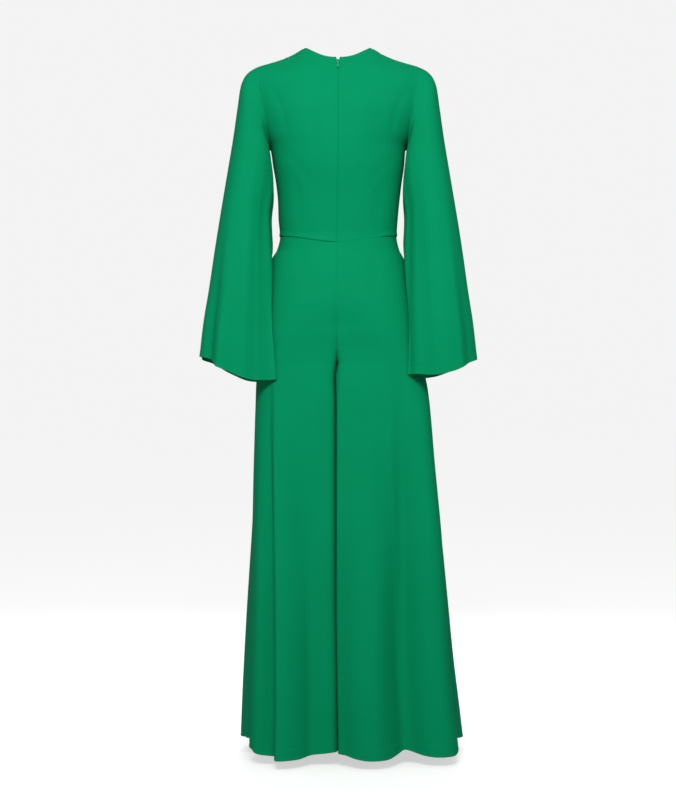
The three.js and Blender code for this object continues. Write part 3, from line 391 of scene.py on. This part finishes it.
def shell(name, P, N, loop=False, trim=(), wall=WALL, round_edges=(), gap=0.04):
    """A closed thin shell: P is its outer face, N points out of the cloth."""
    P = P.copy()

    def pull(edge, nxt):
        d = nxt - edge
        return edge + gap * d / np.maximum(np.linalg.norm(d, axis=-1, keepdims=True), 1e-9)
    if "u0" in trim: P[:, 0] = pull(P[:, 0].copy(), P[:, 1])
    if "u1" in trim: P[:, -1] = pull(P[:, -1].copy(), P[:, -2])
    if "v0" in trim: P[0] = pull(P[0].copy(), P[1])
    if "v1" in trim: P[-1] = pull(P[-1].copy(), P[-2])
    inner = P - N * wall
    nv, nu = P.shape[:2]
    # rows run: outer face from first to last, rounded last edge, inner face
    # back from last to first, rounded first edge
    rings = [P[j] for j in range(nv)]
    seam_of = {}
    for edge, out_row, in_row, nxt in (("v1", P[-1], inner[-1], P[-2]), ("v0", inner[0], P[0], P[1])):
        ring = []
        if edge in round_edges:
            base = (P[-1] if edge == "v1" else P[0])
            d = base - nxt
            d = d / np.maximum(np.linalg.norm(d, axis=-1, keepdims=True), 1e-9)
            midp = (out_row + in_row) / 2
            for a in (45, 90, 135):
                ring.append(midp + (out_row - midp) * math.cos(a * DEG) + d * (wall / 2) * math.sin(a * DEG))
        seam_of[edge] = ring
    rings += seam_of["v1"]
    rings += [inner[j] for j in range(nv - 1, -1, -1)]
    rings += seam_of["v0"]
    V = np.concatenate(rings).astype(np.float32)
    R = len(rings)
    ids = np.arange(R * nu).reshape(R, nu)
    cols = nu if loop else nu - 1
    a = ids[:, :cols]
    b = ids[:, (np.arange(cols) + 1) % nu]
    nxt = np.roll(np.arange(R), -1)
    quads = np.stack([a, b, b[nxt], a[nxt]], -1).reshape(-1, 4)
    caps = []
    if not loop:
        # close the two side edges between the outer and inner faces
        last = nv - 1 + len(seam_of["v1"])
        for col, flip in ((0, False), (nu - 1, True)):
            for j in range(nv - 1):
                o0, o1 = ids[j, col], ids[j + 1, col]
                i0, i1 = ids[R - 1 - len(seam_of["v0"]) - j, col], ids[R - 2 - len(seam_of["v0"]) - j, col]
                caps.append((o0, o1, i1, i0) if flip else (o1, o0, i0, i1))
            for edge in ("v1", "v0"):
                k = len(seam_of[edge])
                if k:
                    if edge == "v1":
                        ring = [ids[nv - 1 + t, col] for t in range(k + 2)]
                    else:
                        ring = [ids[(R - 1 - k + t) % R, col] for t in range(k + 2)]
                    poly = ring if flip else ring[::-1]
                    for t in range(1, len(poly) - 1):
                        caps.append((poly[0], poly[t], poly[t + 1], poly[t + 1]))
    mesh = bpy.data.meshes.new(name)
    faces = [tuple(map(int, q)) for q in quads]
    faces += [tuple(map(int, q if q[2] != q[3] else q[:3])) for q in caps]
    # outward facing: the outer face's first quad must agree with N
    q = quads[(nv // 2) * cols + cols // 2]
    fn = np.cross(V[q[1]] - V[q[0]], V[q[3]] - V[q[0]])
    if float(fn @ N[nv // 2, cols // 2]) < 0:
        faces = [f[::-1] for f in faces]
    mesh.from_pydata((V * 0.001).tolist(), [], faces)
    mesh.polygons.foreach_set("use_smooth", [True] * len(mesh.polygons))
    mesh.update()
    obj = bpy.data.objects.new(name, mesh)
    bpy.context.scene.collection.objects.link(obj)
    return obj


def spaced(count, start=(), end=()):
    """Even steps from 0 to 1, with extra places near the two ends."""
    a = np.linspace(0, 1, count + 1)
    extra = np.concatenate([np.array(start, float), 1 - np.array(end, float)]) if len(start) + len(end) else np.array([])
    if len(start): a = a[(a == 0) | (a > max(start) + 0.3 / count)]
    if len(end): a = a[(a == 1) | (a < 1 - max(end) - 0.3 / count)]
    return np.unique(np.round(np.concatenate([a, extra]), 7))


def gauss(x, w):
    return np.exp(-((x / w) ** 2))


# Soft creases: side of the garment, from (x, z) to (x, z), half width, depth
# (negative is a trough), and how far the middle bows sideways.
CREASE_KEYS = ("face", "x0", "z0", "x1", "z1", "wide", "deep", "bow")
CREASES = [
    # back bodice
    ("back", 62, -96, 50, -250, 20, -1.3, 5), ("back", -72, -88, -58, -226, 24, 1.2, -5),
    ("back", 96, -286, 84, -404, 17, -1.2, 4), ("back", -98, -300, -84, -410, 20, -1.3, -4),
    ("back", 128, -236, 52, -318, 15, -0.9, 6), ("back", -130, -244, -66, -322, 16, -0.8, -6),
    ("back", 30, -300, 34, -425, 18, -0.7, 0), ("back", -40, -310, -46, -425, 22, 0.9, 3),
    ("back", 150, -92, 112, -212, 14, -1.6, 10), ("back", -152, -104, -118, -206, 13, -1.4, -9),
    # seat and back of the legs
    ("back", 84, -446, 70, -556, 24, -1.2, 4), ("back", -92, -450, -80, -566, 26, -1.1, -5),
    ("back", 30, -452, 22, -520, 14, -0.7, 2), ("back", -26, -450, -34, -540, 16, -0.8, -2),
    ("back", 24, -622, 86, -640, 18, -0.5, -5), ("back", -24, -616, -104, -646, 20, -0.5, 6),
    # front bodice
    ("front", 118, -230, 66, -268, 16, -1.6, 4), ("front", -122, -226, -70, -262, 15, -1.7, -4),
    ("front", 78, -282, 58, -408, 18, -1.5, 3), ("front", -80, -278, -64, -402, 20, -1.4, -3),
    ("front", 28, -300, 22, -412, 16, 0.9, 0), ("front", -20, -292, -30, -410, 18, 1.0, 0),
    ("front", 140, -84, 108, -196, 15, -1.5, 9), ("front", -144, -92, -112, -190, 14, -1.4, -8),
    # front of the hips and the fork
    ("front", 82, -440, 64, -560, 22, -1.5, 4), ("front", -86, -446, -70, -548, 24, -1.3, -4),
    ("front", 12, -640, 92, -586, 16, -1.9, -7), ("front", -10, -646, -96, -596, 17, -1.7, 8),
    ("front", 14, -668, 74, -640, 13, -1.5, -5), ("front", -12, -672, -80, -650, 14, -1.6, 5),
]


def creases(face, P, N):
    x, z = P[..., 0], P[..., 2]
    total = np.zeros(x.shape)
    shows = smooth((np.abs(N[..., 1]) - 0.15) / 0.35)
    for f, x0, z0, x1, z1, wide, deep, bow in CREASES:
        if f != face:
            continue
        dx, dz = x1 - x0, z1 - z0
        length = math.hypot(dx, dz)
        t = ((x - x0) * dx + (z - z0) * dz) / length ** 2
        off = ((x - x0) * dz - (z - z0) * dx) / length - bow * np.sin(math.pi * np.clip(t, 0, 1))
        taper = smooth((t + 0.12) / 0.35) * smooth((1.12 - t) / 0.35)
        total += deep * taper * gauss(off, wide * 0.6)
    return total * shows


# ------------------------------------------------------------------ pieces
made = []


def cloth(obj, node):
    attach(obj, "garment")
    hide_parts(node)
    made.append(obj)
    return obj


def push(P, hint, amount, loop=False, face=None, fade=1.0):
    """Moves the points out along the surface's own normals; returns both."""
    N = normals_of(P, loop)
    N = N * np.where(np.sum(N * hint, -1, keepdims=True) < 0, -1, 1)
    if face:
        amount = amount + creases(face, P, N) * fade
    Q = P + N * amount[..., None]
    M = normals_of(Q, loop)
    M = M * np.where(np.sum(M * N, -1, keepdims=True) < 0, -1, 1)
    return Q, M


def bodice_detail(face, P):
    x, y, z = P[..., 0], P[..., 1], P[..., 2]
    d = np.zeros(x.shape)
    xc = x - centre(z)
    if face == "back":
        # centre-back seam over the closed zip
        d += -0.95 * gauss(xc, 1.2) + 0.5 * gauss(xc + 3.4, 2.2) + 0.2 * gauss(xc - 4.4, 3.0)
    # side seams
    d += -0.55 * gauss(y, 1.4) * (np.abs(x) > 100) * (z < UNDERARM_Z + 2)
    zw = WAIST_SIDE_Z - (WAIST_BACK_DIP * np.clip(1 - (xc / 130) ** 2, 0, 1) if face == "back" else 0)
    h = z - zw
    # roll over the waist seam: full on the left back, gone right of the zip
    amount = 0.8 + 0.3 * np.sin(x / 31 + 0.6) + 0.15 * np.sin(x / 13)
    if face == "back":
        amount = 0.12 + 1.5 * smooth((x - 2) / 16) + 1.25 * smooth((-86 - x) / 16)
    d += amount * np.exp(-((h - 2.6) / 7.5) ** 2) - 0.35 * np.exp(-h / 1.2) * np.minimum(amount, 1)
    if face == "back":
        d += -0.9 * gauss(xc - 4.6, 1.5) * gauss(h, 9)
    return d


def trouser_detail(face, side, P, level):
    x, y, z = P[..., 0], P[..., 1], P[..., 2]
    d = np.zeros(x.shape)
    xc = x - centre(z)
    h = WAIST_SIDE_Z - level
    amount = 1.0
    if face == "back":
        amount = 0.1 + 0.9 * smooth((x - 2) / 16) + 0.8 * smooth((-84 - x) / 14)
    d += -0.45 * amount * np.exp(-h / 2.0)
    if face == "back":
        # the seam is pressed flat here, with a short lump where the zip ends
        # its thick part at the waist
        closed = smooth((z + 640) / 70)
        d += (-0.3 * gauss(xc, 1.0) + 0.12 * gauss(np.abs(xc) - 3.6, 2.4)) * closed
        d += 0.8 * gauss(xc - 0.6, 2.6) * gauss(h - 8, 10) - 0.9 * gauss(xc - 4.6, 1.5) * gauss(h, 10)
    else:
        closed = smooth((z + 640) / 70)
        d += -0.5 * gauss(xc, 1.2) * closed
    # side seams
    d += -0.5 * gauss(y, 1.4) * (np.abs(xc) > 90)
    hem = level - HEM_Z
    # turned hem: a faint line of blind stitches above a slightly fuller edge
    d += 0.35 * np.exp(-((hem - 1.2) / 2.0) ** 2) + 0.18 * smooth((26 - hem) / 2) - 0.22 * gauss(hem - 27, 1.6)
    return d


near = np.array([0.35, 0.8, 1.4, 2.1, 3.0, 4.1, 5.4, 7.2, 9.5])
for side, word in ((1, "left"), (-1, "right")):
    # back bodice
    us = spaced(60, start=near / 170)
    vs = spaced(110, start=near / 385)
    U, Vv = np.meshgrid(us, vs)
    P = bodice("back", side, U, Vv)
    P[..., 0] += side * NOTCH_WIDE * np.clip(1 - (NECK_BACK_Z - P[..., 2]) / NOTCH_DEEP, 0, 1) ** 1.2 * np.clip(1 - U * 5, 0, 1)
    hint = np.stack([P[..., 0], P[..., 1], np.full(U.shape, 20.0)], -1)
    Q, N = push(P, hint, bodice_detail("back", P), face="back", fade=1 - smooth((U - 0.84) / 0.13))
    o = shell(f"cloth_bodice_back_{word}", Q, N, trim=("u0", "u1", "v0", "v1"))
    cloth(o, f"bodice_back_{word}")

    # sleeve
    us = np.unique(np.concatenate([np.linspace(0, 1, 185)[:-1], 0.5 + near / 560, 0.5 - near / 560]))
    vs = np.unique(np.concatenate([np.arange(0, 0.9, 0.1), np.linspace(0.9, 9.7, 108),
                                   10 - np.array([0.27, 0.25, 0.23, 0.21, 0.18, 0.14, 0.1, 0.06, 0.035, 0.015, 0])]))
    U, K = np.meshgrid(us, vs)
    P = sleeve_tube(side, U, K)
    th = U * 2 * math.pi
    ax = np.stack([side * (sleeve_of["xo"](K) - sleeve_of["xi"](K)), 0 * K, sleeve_of["zo"](K) - sleeve_of["zi"](K)], -1)
    ax = ax / np.linalg.norm(ax, axis=-1, keepdims=True)
    hint = ax * np.cos(th)[..., None] + np.stack([0 * th, np.sin(th), 0 * th], -1)
    # underarm seam, and the turned hem of the bell
    hem = (10 - K) * 78
    d = -0.5 * gauss((U - 0.5) * 560, 1.3) * smooth(K / 0.6)
    d += 0.3 * np.exp(-((hem - 1.0) / 1.8) ** 2) + 0.15 * smooth((17 - hem) / 2) - 0.2 * gauss(hem - 18, 1.6)
    d = np.where(K > 9, d, -0.5 * gauss((U - 0.5) * 560, 1.3) * smooth(K / 0.6))
    Q, N = push(P, hint, d, loop=True)
    o = shell(f"cloth_sleeve_{word}", Q, N, loop=True, trim=("v0",), round_edges=("v1",))
    cloth(o, f"sleeve_{word}")

    for face in ("back", "front"):
        us = spaced(140, start=near / 240, end=near / 240)
        us = np.unique(np.concatenate([us[(us < 0.712) | (us > 0.79)], np.linspace(0.713, 0.789, 34)]))
        zs = np.concatenate([WAIST_SIDE_Z - np.array([0, 0.8, 1.6, 2.6, 4, 6, 9]), np.linspace(-430, -640, 46)[1:],
                             np.linspace(-640, -706, 34)[1:], np.linspace(-706, -1518, 126)[1:], [-1521, -1523, -1525, -1528, -1534, -1540, -1544, -1547, -1549, -1550]])
        U, L = np.meshgrid(us, zs)
        beta = trouser_angle(face, side, U, L)
        P = leg_point(face, side, beta, L)
        if face == "back":
            # the seat seam sinks as it nears the fork, more softly on the left
            off = np.abs(P[..., 0] - centre(P[..., 2]))
            sink = smooth((-580 - P[..., 2]) / 110) * smooth((P[..., 2] + 790) / 80) * smooth((P[..., 1] - 30) / 40)
            near_seam, wide = (1.0, 2.6) if side > 0 else (3.0, 0.6)
            P[..., 1] -= (near_seam * np.exp(-off / 1.6) + wide * gauss(off, 11)) * sink
        mid = side * leg_width(side, P[..., 2])[0] + centre(P[..., 2])
        hint = np.stack([P[..., 0] - mid, P[..., 1], 0 * mid], -1)
        Q, N = push(P, hint, trouser_detail(face, side, P, L), face=face)
        o = shell(f"cloth_trouser_{face}_{word}", Q, N, trim=("u0", "u1", "v0"), round_edges=("v1",))
        cloth(o, f"trouser_{face}_{word}")

# front bodice
us = np.concatenate([-spaced(56)[::-1][:-1], spaced(56)])
vs = spaced(100, start=near / 385)
U, Vv = np.meshgrid(us, vs)
PL, PR = bodice("front", 1, np.abs(U), Vv), bodice("front", -1, np.abs(U), Vv)
P = np.where((U < 0)[..., None], PR, PL)
hint = np.stack([P[..., 0], P[..., 1], np.full(U.shape, 20.0)], -1)
Q, N = push(P, hint, bodice_detail("front", P), face="front", fade=1 - smooth((np.abs(U) - 0.84) / 0.13))
o = shell("cloth_bodice_front", Q, N, trim=("u0", "u1", "v0", "v1"))
cloth(o, "bodice_front")


# ------------------------------------------------------------------ materials
def material(name, base, rough, sheen=0.0, spec=0.4, metallic=0.0):
    m = bpy.data.materials.new(name)
    m.use_nodes = True
    t = m.node_tree
    t.nodes.clear()
    out = t.nodes.new("ShaderNodeOutputMaterial")
    p = t.nodes.new("ShaderNodeBsdfPrincipled")
    t.links.new(p.outputs[0], out.inputs[0])
    p.inputs["Base Color"].default_value = (*base, 1)
    p.inputs["Roughness"].default_value = rough
    p.inputs["Metallic"].default_value = metallic
    p.inputs["Sheen Weight"].default_value = sheen
    p.inputs["Specular IOR Level"].default_value = spec
    return m, t, p


def node(t, kind, **values):
    n = t.nodes.new(kind)
    for key, value in values.items():
        if key in n.inputs:
            n.inputs[key].default_value = value
        else:
            setattr(n, key, value)
    return n


GREEN = (0.0008, 0.262, 0.108)


def crepe_material():
    m, t, p = material("crepe", GREEN, 0.8, sheen=0.03, spec=0.03)
    p.inputs["Sheen Roughness"].default_value = 0.45
    p.inputs["Sheen Tint"].default_value = (0.05, 1.0, 0.55, 1)
    co = t.nodes.new("ShaderNodeTexCoord")
    # slow change of tone over the cloth
    slow = node(t, "ShaderNodeTexNoise", Scale=6.0, Detail=2.0)
    t.links.new(co.outputs["Object"], slow.inputs["Vector"])
    fine = node(t, "ShaderNodeTexNoise", Scale=620.0, Detail=3.0, Roughness=0.6)
    t.links.new(co.outputs["Object"], fine.inputs["Vector"])
    mixed = node(t, "ShaderNodeMix", data_type="RGBA")
    ramp = node(t, "ShaderNodeMapRange")
    ramp.inputs["From Min"].default_value = 0.3
    ramp.inputs["From Max"].default_value = 0.7
    t.links.new(slow.outputs["Fac"], ramp.inputs["Value"])
    t.links.new(ramp.outputs[0], mixed.inputs["Factor"])
    mixed.inputs["A"].default_value = (GREEN[0], GREEN[1] * 0.97, GREEN[2] * 0.96, 1)
    mixed.inputs["B"].default_value = (GREEN[0], GREEN[1] * 1.03, GREEN[2] * 1.04, 1)
    grain = node(t, "ShaderNodeMix", data_type="RGBA", blend_type="MULTIPLY")
    grain.inputs["Factor"].default_value = 0.25
    tone = node(t, "ShaderNodeMapRange")
    tone.inputs["From Min"].default_value = 0.3
    tone.inputs["From Max"].default_value = 0.7
    tone.inputs["To Min"].default_value = 0.82
    tone.inputs["To Max"].default_value = 1.12
    t.links.new(fine.outputs["Fac"], tone.inputs["Value"])
    t.links.new(mixed.outputs["Result"], grain.inputs["A"])
    t.links.new(tone.outputs[0], grain.inputs["B"])
    t.links.new(grain.outputs["Result"], p.inputs["Base Color"])
    # pebbled crepe surface
    cell = node(t, "ShaderNodeTexVoronoi", Scale=1100.0)
    t.links.new(co.outputs["Object"], cell.inputs["Vector"])
    both = node(t, "ShaderNodeMath", operation="ADD")
    t.links.new(cell.outputs["Distance"], both.inputs[0])
    t.links.new(fine.outputs["Fac"], both.inputs[1])
    bump = node(t, "ShaderNodeBump", Strength=0.3, Distance=0.00025)
    t.links.new(both.outputs[0], bump.inputs["Height"])
    t.links.new(bump.outputs[0], p.inputs["Normal"])
    return m


crepe = crepe_material()
for o in made:
    o.data.materials.append(crepe)

tape, t, p = material("zip_tape", (0.0008, 0.21, 0.088), 0.85, spec=0.03)
co = t.nodes.new("ShaderNodeTexCoord")
ribs = node(t, "ShaderNodeTexWave", Scale=260.0, Distortion=0.4, bands_direction="Z")
t.links.new(co.outputs["Object"], ribs.inputs["Vector"])
bump = node(t, "ShaderNodeBump", Strength=0.5, Distance=0.0002)
t.links.new(ribs.outputs["Fac"], bump.inputs["Height"])
t.links.new(bump.outputs[0], p.inputs["Normal"])

metal, t, p = material("zip_enamel", (0.015, 0.30, 0.14), 0.28, spec=0.6)
p.inputs["Coat Weight"].default_value = 0.5
p.inputs["Coat Roughness"].default_value = 0.15
co = t.nodes.new("ShaderNodeTexCoord")
spots = node(t, "ShaderNodeTexNoise", Scale=900.0, Detail=2.0)
t.links.new(co.outputs["Object"], spots.inputs["Vector"])
rr = node(t, "ShaderNodeMapRange")
rr.inputs["To Min"].default_value = 0.2
rr.inputs["To Max"].default_value = 0.42
t.links.new(spots.outputs["Fac"], rr.inputs["Value"])
t.links.new(rr.outputs[0], p.inputs["Roughness"])
bump = node(t, "ShaderNodeBump", Strength=0.15, Distance=0.0001)
t.links.new(spots.outputs["Fac"], bump.inputs["Height"])
t.links.new(bump.outputs[0], p.inputs["Normal"])

for name, m in (("zip_tape", tape), ("zip_slider", metal), ("zip_pull", metal)):
    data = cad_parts[name].data
    data.materials.clear()
    data.materials.append(m)

# ------------------------------------------------------------------ stage
scene = bpy.context.scene
scene.view_settings.view_transform = "Standard"
def stage_piece(name, verts, faces, mat):
    mesh = bpy.data.meshes.new(name)
    mesh.from_pydata(verts, [], faces)
    mesh.materials.append(mat)
    o = bpy.data.objects.new(name, mesh)
    scene.collection.objects.link(o)
    o.visible_diffuse = False
    o.visible_glossy = False
    o.visible_shadow = False
    return o


PALE = 0.90
fm, t, p = material("pale_floor", (0.62, 0.62, 0.62), 0.95, spec=0.0)
co = t.nodes.new("ShaderNodeTexCoord")
far = node(t, "ShaderNodeVectorMath", operation="LENGTH")
t.links.new(co.outputs["Object"], far.inputs[0])
glow = node(t, "ShaderNodeMapRange", interpolation_type="SMOOTHSTEP")
glow.inputs["From Min"].default_value = 0.3
glow.inputs["From Max"].default_value = 2.6
glow.inputs["To Min"].default_value = 0.42
glow.inputs["To Max"].default_value = PALE - 0.62 * 0.33
t.links.new(far.outputs["Value"], glow.inputs["Value"])
t.links.new(glow.outputs[0], p.inputs["Emission Strength"])
p.inputs["Emission Color"].default_value = (1, 1, 1, 1)
S = 38.0
stage_piece("floor", [(-S, -S, -1.572), (S, -S, -1.572), (S, S, -1.572), (-S, S, -1.572)], [(0, 1, 2, 3)], fm)

bm_, t, p = material("pale_backdrop", (0, 0, 0), 1.0, spec=0.0)
p.inputs["Emission Color"].default_value = (1, 1, 1, 1)
p.inputs["Emission Strength"].default_value = PALE
ring = [(S * math.cos(i * math.pi / 24), S * math.sin(i * math.pi / 24)) for i in range(48)]
levels = [-1.6] + [S * 0.8 * math.sin(j * math.pi / 16) for j in range(1, 9)]
verts = []
for j, h in enumerate(levels):
    w = 1.0 if j == 0 else math.cos((j if j < 8 else 7.9) * math.pi / 16)
    verts += [(x * w, y * w, h) for x, y in ring]
faces = [(j * 48 + i, j * 48 + (i + 1) % 48, (j + 1) * 48 + (i + 1) % 48, (j + 1) * 48 + i)
         for j in range(8) for i in range(48)]
faces.append(tuple(range(8 * 48, 9 * 48)))
stage_piece("backdrop", verts, faces, bm_)

world = bpy.data.worlds.new("studio")
scene.world = world
world.use_nodes = True
bg = world.node_tree.nodes["Background"]
bg.inputs["Color"].default_value = (1, 1, 1, 1)
bg.inputs["Strength"].default_value = 0.33


def area(name, loc, aim, size, power):
    data = bpy.data.lights.new(name, "AREA")
    data.shape = "RECTANGLE"
    data.size, data.size_y = size
    data.energy = power
    data.spread = math.radians(95)
    o = bpy.data.objects.new(name, data)
    o.location = loc
    o.rotation_euler = (Vector(aim) - Vector(loc)).to_track_quat("-Z", "Y").to_euler()
    scene.collection.objects.link(o)
    return o


area("key", (0.10, 3.15, 1.30), (0, 0, -0.52), (1.5, 1.0), 32)
area("front_key", (-0.12, -3.15, 1.40), (0, 0, -0.52), (1.5, 1.0), 27)

cam = bpy.data.cameras.new("camera")
cam.sensor_width = 36.0
cam.sensor_fit = "AUTO"
cam.lens = 1618.0 / 812.0 * 36.0
camera = bpy.data.objects.new("camera", cam)
camera.location = (0, 3.6, -0.794)
camera.rotation_euler = (math.radians(90), 0, math.radians(180))
scene.collection.objects.link(camera)
scene.camera = camera
